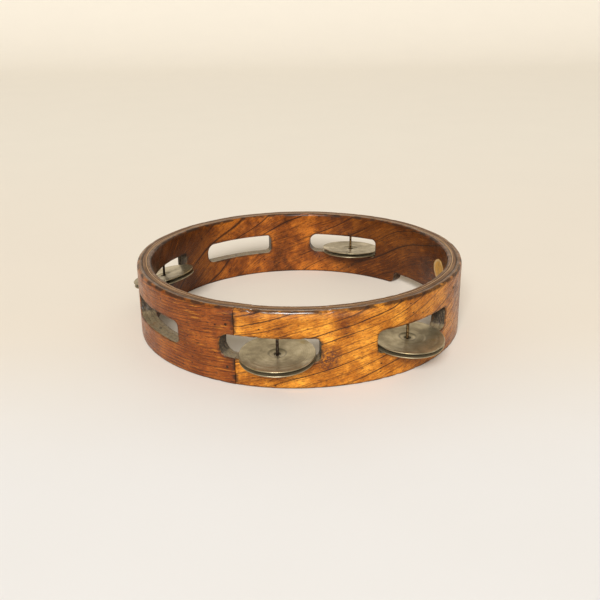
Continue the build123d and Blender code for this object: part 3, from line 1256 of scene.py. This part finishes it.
def build_label():
    """Oval paper pressed on the bore, with a slightly wavy and lifted edge."""
    low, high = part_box("oval_label")
    centre_level = (low.z + high.z) / 2
    half_height = (high.z - low.z) / 2
    wall_half_length = LABEL_HALF_LENGTH * WALL_MIDDLE / BORE_RADIUS
    mesh = bmesh.new()
    oval = mesh.verts.layers.float.new("oval")

    def point(share, turn, depth):
        wavy = 1 + 0.012 * math.sin(5 * turn + 1.0) + 0.008 * math.sin(11 * turn)
        along = length_at(LABEL_ANGLE) + wall_half_length * share * wavy * math.cos(turn)
        up = centre_level + half_height * share * wavy * math.sin(turn)
        curl = LABEL_CURL * share**6 * max(0.0, math.sin(3 * turn))
        vert = mesh.verts.new(hand_made(along, up, BORE_RADIUS - depth - curl))
        vert[oval] = share
        return vert

    def oval_ring(share, depth):
        turns = [math.tau * step / LABEL_SEGMENTS for step in range(LABEL_SEGMENTS)]
        return [point(share, turn, depth) for turn in turns]

    face = LABEL_THICKNESS * LABEL_PRESSED_SHARE
    grid = [oval_ring(ring / LABEL_RINGS, face) for ring in range(1, LABEL_RINGS + 1)]
    grid.append(oval_ring(1.0, 0.0))
    heart = point(0.0, 0.0, face)
    for step in range(LABEL_SEGMENTS):
        mesh.faces.new([heart, grid[0][(step + 1) % LABEL_SEGMENTS], grid[0][step]])
    skin(mesh, grid)
    bmesh.ops.recalc_face_normals(mesh, faces=mesh.faces)
    piece = add_object("oval_label_paper", mesh, aged_paper("label_paper"))
    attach(piece, "rim")
    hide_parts("oval_label")


# === Floor, lights and camera ===


def build_stage():
    """Seamless paper: a floor that sweeps up into a backdrop."""
    half_width, front, bend_start, bend_radius, height = 4.0, -2.5, 2.2, 1.2, 3.5
    bend_steps = 12
    profile = [(front, 0.0), (0.0, 0.0), (bend_start, 0.0)]
    for step in range(1, bend_steps + 1):
        turn = math.radians(90 * step / bend_steps)
        profile.append((bend_start + bend_radius * math.sin(turn), bend_radius * (1 - math.cos(turn))))
    profile.append((bend_start + bend_radius, height))
    mesh = bmesh.new()
    columns = [-half_width, 0.0, half_width]
    grid = [[mesh.verts.new((x, y, z)) for x in columns] for y, z in profile]
    skin(mesh, grid, closed=False)
    add_object("paper_sweep", mesh, studio_paper())


def build_lights():
    """A large, far softbox above the camera, and a dim pale room."""
    distance, azimuth, elevation = 12.0, -6.0, math.radians(34.0)
    target = Vector((0, 0, 0.03))
    light = bpy.data.lights.new("softbox", "AREA")
    light.shape = "RECTANGLE"
    light.size, light.size_y = 5.2, 3.4
    light.energy = 1690.0
    light.color = (1.0, 0.99, 0.985)
    lamp = bpy.data.objects.new("softbox", light)
    lamp.location = polar(azimuth, distance * math.cos(elevation), distance * math.sin(elevation))
    lamp.rotation_euler = (target - lamp.location).to_track_quat("-Z", "Y").to_euler()
    bpy.context.scene.collection.objects.link(lamp)
    world = bpy.data.worlds.new("studio_air")
    world.use_nodes = True
    air = world.node_tree.nodes["Background"]
    air.inputs["Color"].default_value = (1.0, 0.90, 0.70, 1.0)
    air.inputs["Strength"].default_value = 0.34
    bpy.context.scene.world = world
    bpy.context.scene.view_settings.view_transform = "Standard"


def build_camera():
    """The photo's view: close, above the rim, and turned very slightly about its own axis."""
    place = Vector((0, -599.7, 247.1)) * MM
    target = Vector((0.334, 0, 14.715)) * MM
    roll = -0.0113
    forward = (target - place).normalized()
    right = forward.cross(Vector((0, 0, 1))).normalized()
    up = right.cross(forward)
    rolled_right = right * math.cos(roll) + up * math.sin(roll)
    rolled_up = up * math.cos(roll) - right * math.sin(roll)
    lens = bpy.data.cameras.new("photo_camera")
    lens.lens = 47.486
    lens.sensor_width = 36.0
    lens.clip_start = 0.01
    camera = bpy.data.objects.new("photo_camera", lens)
    turn = Matrix((rolled_right, rolled_up, -forward)).transposed().to_4x4()
    camera.matrix_world = Matrix.Translation(place) @ turn
    bpy.context.scene.collection.objects.link(camera)
    bpy.context.scene.camera = camera


build_rim()
build_jingles()
build_pins()
build_tacks()
build_label()
build_stage()
build_lights()
build_camera()
